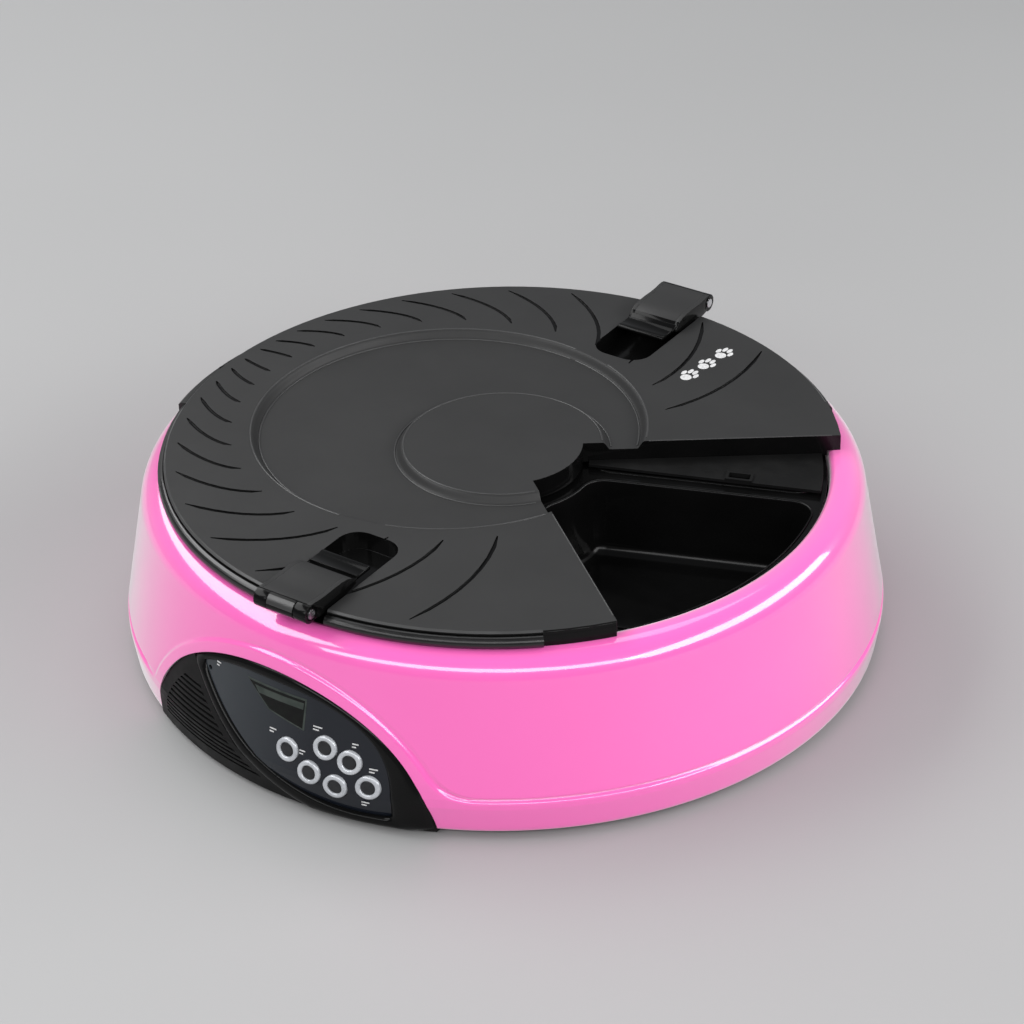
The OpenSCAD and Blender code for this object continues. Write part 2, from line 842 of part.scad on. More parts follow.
module gear_motor() {
    color("silver")
    translate([motor_x, motor_y, 0]) {
        translate([0, 0, motor_top - 8])
            cylinder(d = motor_d, h = 7);
        translate([0, 0, motor_top - 18])
            cylinder(d = motor_d - 6, h = 10.5);
        translate([0, 0, motor_top - 2.2])
            cylinder(r = 3.5, h = 2.6);
        translate([0, 0, motor_top - 1])
            cylinder(r = motor_shaft, h = gear_t, $fn = 48);
        rotate(motor_dir)
            difference() {
                translate([-4, -motor_ear - 4, motor_top - 2])
                    cube([8, 2 * motor_ear + 8, 2]);
                for (s = [-1, 1])
                    translate([0, s * motor_ear, motor_top - 4])
                        cylinder(d = 3, h = 6, $fn = 32);
            }
    }
}

module motor_screws() {
    color("silver")
    for (s = [-1, 1])
        rotate(motor_dir)
            translate([gear_dist, s * motor_ear, motor_top - 4]) {
                cylinder(d = 2.2, h = 8.5, $fn = 32);
                cylinder(d = 5, h = 2, $fn = 32);
            }
}

module position_switch() {
    color([0.2, 0.2, 0.2])
    translate([switch_x, switch_y, switch_z]) {
        cube([6, 12.8, 4.6]);
        translate([1.5, 1.4, 4.4])
            cube([3, 9, 0.6]);
        translate([2, 8.4, 5.1])
            rotate([0, 90, 0])
                cylinder(r = 1.1, h = 2, $fn = 32);
        for (y = [1, 6, 11])
            translate([0, y, -3.6])
                cube([0.4, 1, 4]);
    }
}

module window_2d(grow) {
    a = window_a + grow;
    b = window_b + grow;
    n = 96;
    power = 2 / 2.5;
    intersection() {
        translate([0, window_z])
            polygon([for (i = [0:n - 1]) let (t = 360 * i / n)
                [a * sign(cos(t)) * pow(abs(cos(t)), power), b * sign(sin(t)) * pow(abs(sin(t)), power)]]);
        translate(sweep_xz)
            circle(r = sweep_r + grow, $fn = 180);
    }
}

module lcd_2d() {
    polygon(lcd_xz);
}

module button_holes(grow) {
    for (p = button_xz)
        translate([p[0], -well_r, p[1]])
            rotate([90, 0, 0])
                cylinder(d = button_d + 2 * grow, h = ring_w + 5, $fn = 64);
}

// the horizontal slots in front of the loudspeaker, left of the window
module grille_2d() {
    pitch = 2.3;
    intersection() {
        panel_outline(-6);
        difference() {
            for (i = [0:grille_count - 1])
                translate([-panel_a, 8 + i * pitch])
                    square([panel_a, pitch / 2]);
            translate(sweep_xz)
                circle(r = sweep_r + bezel_w + 3, $fn = 180);
        }
    }
}

module control_fascia() {
    color([0.12, 0.12, 0.12])
    difference() {
        union() {
            intersection() {
                skin_shell(0, fascia_t, 0, base_z - 1.5);
                from_front()
                    panel_outline(-panel_gap);
            }
            // the hidden edge that laps behind the ring's wall
            intersection() {
                skin_shell(fascia_t - eps, wall + 1.4, 0, cover_top + 0.6);
                from_front()
                    difference() {
                        panel_outline(-panel_gap);
                        panel_outline(-3);
                    }
            }
            intersection() {
                skin_shell(wall + 0.15, wall + 1.4, 0, cover_top + 0.6);
                from_front()
                    difference() {
                        panel_outline(3);
                        panel_outline(-3);
                    }
            }
            intersection() {
                skin_solid(1);
                for (p = boss_xz)
                    translate([p[0], board_y, p[1]])
                        rotate([90, 0, 0])
                            cylinder(d = boss_d, h = 30, $fn = 48);
            }
        }
        intersection() {
            skin_shell(-2, recess_d, 0, base_z - 2);
            from_front()
                window_2d(bezel_w);
        }
        from_front(30)
            lcd_2d();
        from_front(30)
            grille_2d();
        from_front(30)
            translate(mic_xz)
                circle(d = 2, $fn = 32);
        button_holes(button_gap);
        for (p = boss_xz)
            translate([p[0], board_y + eps, p[1]])
                rotate([90, 0, 0])
                    cylinder(d = 1.8, h = 7, $fn = 32);
    }
}

module display_bezel() {
    color([0.05, 0.05, 0.05])
    intersection() {
        skin_shell(-border_h, recess_d - glue_t, 0, base_z - 1.5);
        from_front()
            difference() {
                window_2d(bezel_w - 0.1);
                window_2d(0);
            }
        from_front()
            panel_outline(-1.5);
    }
}

module display_window() {
    color([0.1, 0.13, 0.18, 0.9])
    difference() {
        intersection() {
            skin_shell(0.2, recess_d - glue_t, 0, base_z - 1.5);
            from_front()
                window_2d(-0.05);
        }
        button_holes(button_gap);
        from_front(30)
            translate(mic_xz)
                circle(d = 2, $fn = 32);
    }
}

module lcd_module() {
    color([0.25, 0.3, 0.28])
    union() {
        translate([-9, board_y - 8.4, 36])
            cube([29, 8.4, 16]);
        translate([-7, board_y - 9.4, 37])
            cube([25, 1.2, 14]);
    }
}

// depth of a button's flange, just behind the curved fascia
function flange_y(p) = -sqrt(pow(wall_r(p[1] + 6) - fascia_t - 0.3, 2) - pow(abs(p[0]) + 6, 2)) + 0.3;

module button(i) {
    p = button_xz[i - 1];
    y0 = flange_y(p);
    stem_end = board_y - touch_h - 0.4 - button_travel;
    color("silver")
    union() {
        intersection() {
            skin_solid(-border_h);
            translate([p[0], y0 + eps, p[1]])
                rotate([90, 0, 0])
                    cylinder(d = button_d, h = 40, $fn = 64);
        }
        translate([p[0], y0 + 1, p[1]])
            rotate([90, 0, 0])
                cylinder(d = button_d + 1.8, h = 1, $fn = 64);
        translate([p[0], stem_end, p[1]])
            rotate([90, 0, 0])
                cylinder(d = 3.6, h = stem_end - y0, $fn = 32);
    }
}

module circuit_board() {
    color("darkgreen")
    difference() {
        translate([board_x[0], board_y, board_z[0]])
            cube([board_x[1] - board_x[0], board_t, board_z[1] - board_z[0]]);
        for (p = boss_xz)
            translate([p[0], board_y - 1, p[1]])
                rotate([-90, 0, 0])
                    cylinder(d = 2.4, h = 5, $fn = 32);
    }
}

module touch_switches() {
    color([0.15, 0.15, 0.15])
    for (p = button_xz)
        translate([p[0], board_y, p[1]]) {
            translate([-touch_w / 2, -touch_h, -touch_w / 2])
                cube([touch_w, touch_h, touch_w]);
            rotate([90, 0, 0])
                cylinder(d = 3.4, h = touch_h + 0.3, $fn = 32);
        }
}

module board_screws() {
    color("silver")
    for (p = boss_xz)
        translate([p[0], board_y + board_t, p[1]]) {
            rotate([90, 0, 0])
                cylinder(d = 1.8, h = 8, $fn = 32);
            rotate([-90, 0, 0])
                cylinder(d1 = 4.4, d2 = 3.6, h = 1.2, $fn = 32);
        }
}

module speaker() {
    face = belt_r - fascia_t - 4.6;
    color([0.2, 0.2, 0.2])
    rotate(speaker_dir)
        translate([0, -face, 8 + speaker_d / 2])
            rotate([90, 0, 0])
                rotate_extrude()
                    polygon([[0, -speaker_h], [speaker_d / 4, -speaker_h], [speaker_d / 4, -2.2],
                        [speaker_d / 2 - 1, -1.4], [speaker_d / 2, -1.4], [speaker_d / 2, 0],
                        [speaker_d / 2 - 1.6, 0], [speaker_d / 4, -1.4], [3, -1.4], [0, -0.8]]);
}

module microphone() {
    color("silver")
    translate([mic_xz[0], -sqrt(pow(wall_r(mic_xz[1] + 3) - fascia_t - 0.4, 2) - pow(mic_xz[0] - 3, 2)), mic_xz[1]])
        rotate([-90, 0, 0])
            difference() {
                cylinder(d = 6, h = 3.4, $fn = 48);
                translate([0, 0, -eps])
                    cylinder(d = 1.6, h = 0.5, $fn = 32);
            }
}

function cell_y(row) = bay_y0 + bay_gap + cell_d / 2 + row * (cell_d + bay_gap);
cell_z = base_z + door_t + 0.3 + cell_d / 2;

module battery(i) {
    row = floor((i - 1) / 2);
    col = (i - 1) % 2;
    flip = row == 0 ? 1 : -1;
    color("goldenrod")
    translate([(col == 0 ? -1 : 1) * cell_l / 2, cell_y(row), cell_z])
        rotate([0, 90 * flip, 0])
            rotate_extrude()
                polygon([[0, -cell_l / 2 + 0.1], [cell_d / 2 - 1, -cell_l / 2 + 0.1],
                    [cell_d / 2, -cell_l / 2 + 1.1], [cell_d / 2, cell_l / 2 - 2.6],
                    [cell_d / 2 - 1.2, cell_l / 2 - 1.8], [3.4, cell_l / 2 - 1.8], [3.2, cell_l / 2 - 0.1],
                    [0, cell_l / 2 - 0.1]]);
}

module contact_plate(side) {
    color("silver")
    translate([side > 0 ? bay_x - contact_t : -bay_x, bay_y0 + 3, base_z + door_t + 5])
        cube([contact_t, bay_w - 6, cell_d - 8]);
}

module spring_at(x0, x1, y) {
    turns = 3;
    n = 14;
    wire = 0.4;
    ring = 6;
    function centre(i) = let (t = i / (turns * n), r = 7 - 2.4 * t, a = 360 * i / n)
        [x0 + (x1 - x0) * t, y + r * cos(a), cell_z + r * sin(a)];
    rings = [for (i = [0:turns * n]) let (a = 360 * i / n)
        [for (k = [0:ring - 1]) let (b = 360 * k / ring)
            centre(i) + wire * [sin(b), cos(b) * cos(a), cos(b) * sin(a)]]];
    count = turns * n;
    polyhedron(points = [for (r = rings) for (p = r) p],
        faces = concat([[for (k = [0:ring - 1]) k]],
            [for (i = [0:count - 1]) for (k = [0:ring - 1])
                [i * ring + k, (i + 1) * ring + k, (i + 1) * ring + (k + 1) % ring, i * ring + (k + 1) % ring]],
            [[for (k = [ring - 1:-1:0]) count * ring + k]]));
}

// the coiled contacts that press on each row's flat ends
module battery_springs() {
    color("silver")
    union() {
        spring_at(-bay_x + contact_t + 0.5, -cell_l - 0.5, cell_y(0));
        spring_at(bay_x - contact_t - 0.5, cell_l + 0.5, cell_y(1));
    }
}

outer_ring();
base_housing();
tray_well();
bottom_cover();
battery_door();
foot(1);  // foot_1
foot(2);  // foot_2
foot(3);  // foot_3
foot(4);  // foot_4
base_screws();
lid();
guard_plate();
latch_at(-90 + latch_turn) latch_shape();  // latch_front
latch_at(90 + latch_turn) latch_shape();  // latch_back
latch_at(-90 + latch_turn) latch_pin();  // latch_pin_front
latch_at(90 + latch_turn) latch_pin();  // latch_pin_back
food_tray();
food_bowls();
turntable();
thrust_washer();
drive_gear();
spindle_screw();
motor_pinion();
gear_motor();
motor_screws();
position_switch();
control_fascia();
display_bezel();
display_window();
lcd_module();
button(1);  // button_1
button(2);  // button_2
button(3);  // button_3
button(4);  // button_4
button(5);  // button_5
button(6);  // button_6
circuit_board();
touch_switches();
board_screws();
speaker();
microphone();
battery(1);  // battery_1
battery(2);  // battery_2
battery(3);  // battery_3
battery(4);  // battery_4
contact_plate(-1);  // contact_plate_left
contact_plate(1);  // contact_plate_right
battery_springs();
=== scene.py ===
import json
import math

import bmesh
import bpy
from mathutils import Matrix, Vector


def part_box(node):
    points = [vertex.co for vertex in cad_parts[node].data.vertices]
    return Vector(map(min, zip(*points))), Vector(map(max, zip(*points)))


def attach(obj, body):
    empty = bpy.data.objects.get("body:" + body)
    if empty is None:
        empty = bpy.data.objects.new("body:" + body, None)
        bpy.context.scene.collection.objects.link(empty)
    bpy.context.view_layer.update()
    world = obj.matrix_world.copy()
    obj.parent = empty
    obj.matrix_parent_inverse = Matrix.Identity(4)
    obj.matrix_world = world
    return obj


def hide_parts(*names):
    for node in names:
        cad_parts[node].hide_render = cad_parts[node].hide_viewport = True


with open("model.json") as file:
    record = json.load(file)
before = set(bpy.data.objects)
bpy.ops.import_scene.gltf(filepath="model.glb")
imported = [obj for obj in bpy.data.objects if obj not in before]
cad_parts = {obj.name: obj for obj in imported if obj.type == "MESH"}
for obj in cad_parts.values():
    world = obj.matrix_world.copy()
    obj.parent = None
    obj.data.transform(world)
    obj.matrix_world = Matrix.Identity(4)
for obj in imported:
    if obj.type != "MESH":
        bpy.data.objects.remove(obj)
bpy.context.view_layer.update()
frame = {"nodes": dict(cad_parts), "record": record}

MM = 0.001


# ---------------------------------------------------------------- materials

def shader(name, color, roughness, **sockets):
    """A Principled material with its constants on the shader's own sockets."""
    mat = bpy.data.materials.new(name)
    mat.use_nodes = True
    bsdf = mat.node_tree.nodes["Principled BSDF"]
    bsdf.inputs["Base Color"].default_value = (*color, 1)
    bsdf.inputs["Roughness"].default_value = roughness
    for socket, value in sockets.items():
        bsdf.inputs[socket.replace("_", " ")].default_value = value
    return mat


def add(mat, kind, **values):
    """A node of a kind, with its settings and its sockets' values."""
    node = mat.node_tree.nodes.new(kind)
    for key, value in values.items():
        if hasattr(node, key):
            setattr(node, key, value)
        else:
            node.inputs[key.replace("_", " ")].default_value = value
    return node


def wire(mat, out_node, out_socket, in_node, in_socket):
    mat.node_tree.links.new(out_node.outputs[out_socket], in_node.inputs[in_socket])


def noise(mat, scale, detail=3.0):
    """Noise over the piece's own coordinates; scale is in waves per metre."""
    place = add(mat, "ShaderNodeTexCoord")
    node = add(mat, "ShaderNodeTexNoise", Scale=scale, Detail=detail)
    wire(mat, place, "Object", node, "Vector")
    return node


def vary_roughness(mat, low, high, scale):
    """Handled plastic isn't evenly smooth: its roughness drifts between two values."""
    spread = add(mat, "ShaderNodeMapRange", From_Min=0.35, From_Max=0.65, To_Min=low, To_Max=high)
    wire(mat, noise(mat, scale, 5.0), "Fac", spread, "Value")
    wire(mat, spread, "Result", mat.node_tree.nodes["Principled BSDF"], "Roughness")


def vary_color(mat, first, second, scale, detail=3.0):
    ramp = add(mat, "ShaderNodeValToRGB")
    ramp.color_ramp.elements[0].position = 0.35
    ramp.color_ramp.elements[1].position = 0.65
    ramp.color_ramp.elements[0].color = (*first, 1)
    ramp.color_ramp.elements[1].color = (*second, 1)
    wire(mat, noise(mat, scale, detail), "Fac", ramp, "Fac")
    wire(mat, ramp, "Color", mat.node_tree.nodes["Principled BSDF"], "Base Color")
    return ramp


def relief(mat, soft, *grains):
    """Rounds the edges by soft metres, then lays bumps on: (waves per metre, depth in metres, strength)."""
    bsdf = mat.node_tree.nodes["Principled BSDF"]
    last = add(mat, "ShaderNodeBevel", samples=6, Radius=soft)
    for scale, depth, strength in grains:
        bump = add(mat, "ShaderNodeBump", Distance=depth, Strength=strength)
        wire(mat, noise(mat, scale, 2.0), "Fac", bump, "Height")
        wire(mat, last, "Normal", bump, "Normal")
        last = bump
    wire(mat, last, "Normal", bsdf, "Normal")


def pink_gloss():
    mat = shader("pink_gloss", (0.99, 0.13, 0.52), 0.2, Coat_Weight=1.0, Coat_Roughness=0.06, Coat_IOR=1.75,
                 Sheen_Weight=0.9, Sheen_Roughness=0.42)
    vary_color(mat, (0.985, 0.125, 0.51), (0.995, 0.135, 0.53), 9.0)
    vary_roughness(mat, 0.17, 0.27, 60.0)
    relief(mat, 0.5 * MM, (900.0, 0.02 * MM, 0.12), (26.0, 0.3 * MM, 0.05))
    return mat


def lid_grey():
    mat = shader("lid_grey", (0.022, 0.022, 0.022), 0.5, Specular_IOR_Level=0.3)
    vary_color(mat, (0.021, 0.021, 0.021), (0.024, 0.024, 0.024), 30.0, 6.0)
    vary_roughness(mat, 0.47, 0.51, 90.0)
    relief(mat, 0.4 * MM, (2600.0, 0.03 * MM, 0.35), (700.0, 0.02 * MM, 0.1))
    return mat


def black_matte():
    mat = shader("black_matte", (0.005, 0.005, 0.005), 0.42, Specular_IOR_Level=0.15)
    vary_color(mat, (0.0045, 0.0045, 0.0045), (0.0065, 0.0065, 0.0065), 40.0, 6.0)
    vary_roughness(mat, 0.38, 0.52, 120.0)
    relief(mat, 0.3 * MM, (2600.0, 0.03 * MM, 0.3))
    return mat


def black_gloss():
    mat = shader("black_gloss", (0.003, 0.003, 0.003), 0.16, Specular_IOR_Level=0.13, Coat_Weight=0.05,
                 Coat_Roughness=0.05)
    vary_color(mat, (0.0025, 0.0025, 0.0025), (0.004, 0.004, 0.004), 25.0)
    vary_roughness(mat, 0.12, 0.18, 80.0)
    relief(mat, 0.45 * MM, (500.0, 0.02 * MM, 0.08))
    return mat


def window_tint():
    mat = shader("window_tint", (0.02, 0.026, 0.034), 0.12, Specular_IOR_Level=0.3, Coat_Weight=0.2,
                 Coat_Roughness=0.03)
    # Painted shading: the tint runs from darker at the window's right to lighter at its left, for how the
    # light falls across it
    painted_shading_ramp = vary_color(mat, (0.006, 0.008, 0.013), (0.03, 0.036, 0.042), 18.0)
    place = add(mat, "ShaderNodeTexCoord")
    axes = add(mat, "ShaderNodeSeparateXYZ")
    wire(mat, place, "Object", axes, "Vector")
    fade = add(mat, "ShaderNodeMapRange", From_Min=30 * MM, From_Max=-35 * MM, To_Min=0.3, To_Max=0.72)
    wire(mat, axes, "X", fade, "Value")
    wire(mat, fade, "Result", painted_shading_ramp, "Fac")
    vary_roughness(mat, 0.06, 0.13, 70.0)
    relief(mat, 0.15 * MM, (300.0, 0.01 * MM, 0.05))
    return mat


def lcd_grey():
    mat = shader("lcd_grey", (0.003, 0.003, 0.003), 0.2, Specular_IOR_Level=0.2)
    vary_color(mat, (0.002, 0.002, 0.002), (0.004, 0.005, 0.004), 300.0)
    relief(mat, 0.1 * MM, (1500.0, 0.01 * MM, 0.1))
    return mat


def button_grey():
    mat = shader("button_grey", (0.55, 0.57, 0.6), 0.3, Metallic=0.35)
    vary_color(mat, (0.5, 0.52, 0.55), (0.6, 0.62, 0.65), 200.0, 6.0)
    vary_roughness(mat, 0.25, 0.4, 500.0)
    relief(mat, 0.2 * MM, (3000.0, 0.01 * MM, 0.2))
    return mat


def steel():
    mat = shader("steel", (0.62, 0.62, 0.64), 0.25, Metallic=1.0)
    vary_color(mat, (0.55, 0.55, 0.57), (0.7, 0.7, 0.72), 150.0, 6.0)
    vary_roughness(mat, 0.18, 0.36, 400.0)
    relief(mat, 0.1 * MM, (1800.0, 0.01 * MM, 0.15))
    return mat


def rubber_black():
    mat = shader("rubber_black", (0.018, 0.018, 0.018), 0.75)
    vary_color(mat, (0.014, 0.014, 0.014), (0.026, 0.025, 0.024), 120.0, 6.0)
    vary_roughness(mat, 0.68, 0.85, 300.0)
    relief(mat, 0.3 * MM, (1500.0, 0.05 * MM, 0.3))
    return mat


def gear_white():
    mat = shader("gear_white", (0.72, 0.71, 0.67), 0.38, Subsurface_Weight=0.15, Subsurface_Scale=0.002)
    vary_color(mat, (0.68, 0.67, 0.62), (0.76, 0.75, 0.71), 60.0)
    vary_roughness(mat, 0.32, 0.46, 200.0)
    relief(mat, 0.15 * MM, (1500.0, 0.01 * MM, 0.15))
    return mat


def board_green():
    mat = shader("board_green", (0.012, 0.11, 0.035), 0.25, Coat_Weight=0.4, Coat_Roughness=0.1)
    vary_color(mat, (0.008, 0.08, 0.025), (0.018, 0.15, 0.05), 250.0, 1.0)
    relief(mat, 0.1 * MM, (3000.0, 0.01 * MM, 0.2))
    return mat


def battery_wrap():
    mat = shader("battery_wrap", (0.42, 0.22, 0.045), 0.25, Metallic=0.6)
    vary_color(mat, (0.36, 0.18, 0.035), (0.48, 0.26, 0.06), 40.0)
    vary_roughness(mat, 0.2, 0.35, 90.0)
    relief(mat, 0.4 * MM, (600.0, 0.02 * MM, 0.1))
    return mat


def button_core():
    mat = shader("button_core", (0.016, 0.017, 0.019), 0.35, Specular_IOR_Level=0.35)
    vary_color(mat, (0.013, 0.014, 0.016), (0.02, 0.021, 0.023), 300.0)
    relief(mat, 0.1 * MM, (3000.0, 0.01 * MM, 0.2))
    return mat


def lcd_line():
    mat = shader("lcd_line", (0.03, 0.038, 0.033), 0.35, Specular_IOR_Level=0.3)
    vary_color(mat, (0.022, 0.03, 0.026), (0.045, 0.055, 0.048), 200.0)
    return mat


def rim_grey():
    """The lid's bends, smoother than its faces and painted a lighter grey as a highlight."""
    mat = shader("rim_grey", (0.035, 0.035, 0.035), 0.34, Specular_IOR_Level=0.6)
    vary_color(mat, (0.03, 0.03, 0.03), (0.04, 0.04, 0.04), 50.0)
    vary_roughness(mat, 0.3, 0.38, 120.0)
    relief(mat, 0.3 * MM, (2600.0, 0.02 * MM, 0.2))
    return mat


def bead_black():
    mat = shader("bead_black", (0.004, 0.004, 0.004), 0.24, Specular_IOR_Level=0.6)
    vary_color(mat, (0.003, 0.003, 0.003), (0.005, 0.005, 0.005), 40.0)
    vary_roughness(mat, 0.21, 0.27, 90.0)
    return mat


def print_white():
    mat = shader("print_white", (0.62, 0.62, 0.62), 0.5)
    vary_color(mat, (0.5, 0.5, 0.5), (0.7, 0.7, 0.7), 900.0, 5.0)
    vary_roughness(mat, 0.45, 0.6, 400.0)
    return mat


def part_black():
    mat = shader("part_black", (0.02, 0.02, 0.02), 0.5)
    vary_color(mat, (0.015, 0.015, 0.015), (0.03, 0.03, 0.03), 80.0)
    relief(mat, 0.2 * MM, (1800.0, 0.02 * MM, 0.25))
    return mat


MAKERS = [pink_gloss, lid_grey, black_matte, black_gloss, window_tint, lcd_grey, button_grey, steel,
          rubber_black, gear_white, board_green, battery_wrap, part_black, button_core, lcd_line,
          rim_grey, bead_black, print_white]
MATERIALS = {make.__name__: make() for make in MAKERS}


# ---------------------------------------------------------------- sizes, in millimetres

def low_high(node):
    """The low and high corners of a CAD node's box."""
    low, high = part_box(node)
    return low / MM, high / MM


ring_low, ring_high = low_high("outer_ring")
bowl_low, bowl_high = low_high("food_bowls")
tray_high = low_high("food_tray")[1]
guard_low = low_high("guard_plate")[0]

# the ring: its belt line, its leaning wall, its rounded lip and the well inside it
BELT_R = ring_high.x
LIP_Z = ring_high.z
FOOT_Z = ring_low.z
BELT_Z = 18.7
BELT_INSET = 0.3
BAND_TAPER = 1.7
LEAN = math.radians(10.8)
LIP_ROUND = 11.0
LIP_C_Z = LIP_Z - LIP_ROUND
WELL_R = tray_high.x + 1.0
SKIRT_Z = LIP_Z - 15.5
WALL = 2.5

# the ring's surface: its rows as (lowest height, step, count), the step and the groove at the belt
# and the border, how widely belt and border blend, and a distance for where there is no border
WALL_ROWS = [(FOOT_Z + 0.6, 1.4, 7), (14.0, 0.4, 26), (24.6, 0.5, 88)]
LIP_STEPS, LIP_STEPS_INSIDE = 14, 8
STEP_AT, STEP_W = 0.65, 1.4
GROOVE_AT, GROOVE_W, GROOVE_DEPTH = 0.95, 0.75, 1.0
BLEND_RIGHT, BLEND_LEFT = 11.0, 3.0
FAR = 99.0

# the control panel's oval, its raised border, the circle that cuts its window, and the window
PANEL_A, PANEL_B = 71.0, 58.8
BORDER_W, BORDER_H = 5.5, 0.9
SWEEP_X, SWEEP_Z, SWEEP_R = 42.0, 105.0, 98.0
FRAME_W = 6.0
WINDOW_A, WINDOW_B, WINDOW_Z = 55.0, 41.5, 12.0

# the lid: its opening's apex, half angle in degrees and inner radius, its top, its rim and the
# middle of its dish
OPEN_APEX, OPEN_HALF, OPEN_R = 4.63, 37.5, 33.7
LID_Z = guard_low.z + 9.9
LID_R = BELT_R - 20.2
DISH_X = -28.0

# the bowls: how many, how far they are turned in degrees, and one bowl's outline
BOWL_COUNT, BOWL_TURN = 6, -7.8
BOWL_IN_R, BOWL_OUT_R = 39, bowl_high.x - 0.9
SPOKE_HALF, BOWL_CORNER = 4.2, 9

# the latches: half their width, their cheeks and their knuckles
LATCH_HALF = 12.5
CHEEK_W = 2
KNUCKLE_W, KNUCKLE_R, PIN_HOLE_R = 6, 4, 2.03


def wall_r(z):
    """Radius of the wall's outside at a height above the belt."""
    return BELT_R - BELT_INSET - (z - BELT_Z - 1) * math.tan(LEAN)


LIP_C_R = wall_r(LIP_C_Z) - LIP_ROUND / math.cos(LEAN)


def smooth(t):
    """Eases from 0 to 1 as t goes from 0 to 1."""
    t = min(1.0, max(0.0, t))
    return t * t * (3 - 2 * t)


def mix(a, b, t):
    """The value a share t of the way from a to b."""
    return a + (b - a) * t


# ---------------------------------------------------------------- making pieces

def piece(name, verts, faces, material, body, stands_for=(), crease=35):
    """A mesh from points in millimetres, dressed, smoothed up to a crease and riding on its body."""
    mesh = bpy.data.meshes.new(name)
    mesh.from_pydata([[c * MM for c in v] for v in verts], [], faces)
    mesh.validate()
    obj = bpy.data.objects.new(name, mesh)
    bpy.context.scene.collection.objects.link(obj)
    finish_piece(obj, material, body, stands_for, crease)


def finish_piece(obj, material, body, stands_for=(), crease=35):
    """Dresses a piece, smooths it up to a crease, rides it on its body and hides what it stands for."""
    mesh = obj.data
    mesh.materials.append(MATERIALS[material])
    face_outwards(mesh)
    mesh.shade_smooth()
    mesh.set_sharp_from_angle(angle=math.radians(crease))
    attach(obj, body)
    if stands_for:
        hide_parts(*stands_for)


def grid_faces(rows, columns, close_rows=False, close_columns=False):
    """Quads over points stored row by row."""
    faces = []
    for i in range(rows if close_rows else rows - 1):
        for j in range(columns if close_columns else columns - 1):
            k, m = (i + 1) % rows, (j + 1) % columns
            faces.append((i * columns + j, i * columns + m, k * columns + m, k * columns + j))
    return faces


def closing_faces(turns, points):
    """Quads from each section's last point back to its first, all the way round."""
    return [(i * points, (i + 1) % turns * points, (i + 1) % turns * points + points - 1,
             i * points + points - 1) for i in range(turns)]


def modify(obj, kind, **settings):
    """Adds a modifier and bakes it into the mesh."""
    mod = obj.modifiers.new(kind.lower(), kind)
    for key, value in settings.items():
        setattr(mod, key, value)
    bpy.context.view_layer.update()
    evaluated = obj.evaluated_get(bpy.context.evaluated_depsgraph_get())
    mesh = bpy.data.meshes.new_from_object(evaluated)
    obj.modifiers.clear()
    obj.data = mesh


def raw_object(name, verts, faces):
    """An undressed object from points in millimetres, for a modifier to work on."""
    mesh = bpy.data.meshes.new(name)
    mesh.from_pydata([[c * MM for c in v] for v in verts], [], faces)
    face_outwards(mesh)
    obj = bpy.data.objects.new(name, mesh)
    bpy.context.scene.collection.objects.link(obj)
    return obj


def face_outwards(mesh):
    """Turns every face to look out of the solid."""
    bm = bmesh.new()
    bm.from_mesh(mesh)
    bmesh.ops.recalc_face_normals(bm, faces=bm.faces)
    bm.to_mesh(mesh)
    bm.free()


def prism(name, outline, lift):
    """A closed prism over an outline; lift turns (outline point, 0 or 1) into a place."""
    n = len(outline)
    verts = [lift(p, 0) for p in outline] + [lift(p, 1) for p in outline]
    faces = [tuple(range(n))[::-1], tuple(range(n, 2 * n))]
    faces += [(i, (i + 1) % n, n + (i + 1) % n, n + i) for i in range(n)]
    return raw_object(name, verts, faces)


# ---------------------------------------------------------------- the pink ring

def panel_distance(x, z):
    """How far a point seen from the front lies outside the panel's oval."""
    f = math.hypot(x / PANEL_A, z / PANEL_B)
    slope = math.hypot(x / PANEL_A ** 2, z / PANEL_B ** 2)
    return f * (f - 1) / max(slope, 1e-6)


def ring_outside(angle, z):
    """Radius of the ring's wall: a belt step that flows into the raised border round the panel."""
    x = BELT_R * math.cos(angle)
    front = math.sin(angle) < 0
    belt = z - BELT_Z
    border = panel_distance(x, z) - BORDER_W if front and abs(x) < 100 else FAR
    # belt and border meet in a wide sweep on the right and in a tight one on the left
    blend = BLEND_RIGHT if x > 0 else BLEND_LEFT
    h = min(1.0, max(0.0, 0.5 + 0.5 * (border - belt) / blend))
    edge = mix(border, belt, h) - blend * h * (1 - h)
    step = smooth((STEP_AT - edge) / STEP_W)
    lift = mix(BELT_INSET, BORDER_H, smooth((z - BELT_Z) / 8.0))
    # the groove fades left of the panel and up the border
    groove = math.exp(-((edge - GROOVE_AT) / GROOVE_W) ** 2)
    near_left = smooth((x + 88) / 14.0) * smooth((-x) / 20.0) if front else 0.0
    depth = mix(GROOVE_DEPTH, 0.15, near_left) * mix(1.0, 0.35, smooth((z - BELT_Z - 3) / 6.0))
    if z < BELT_Z:
        base = BELT_R - BELT_INSET - BAND_TAPER * max(0.0, BELT_Z - 3 - z) / (BELT_Z - 3 - FOOT_Z)
    else:
        base = min(wall_r(z), BELT_R - BELT_INSET)
    return base + lift * step - groove * depth


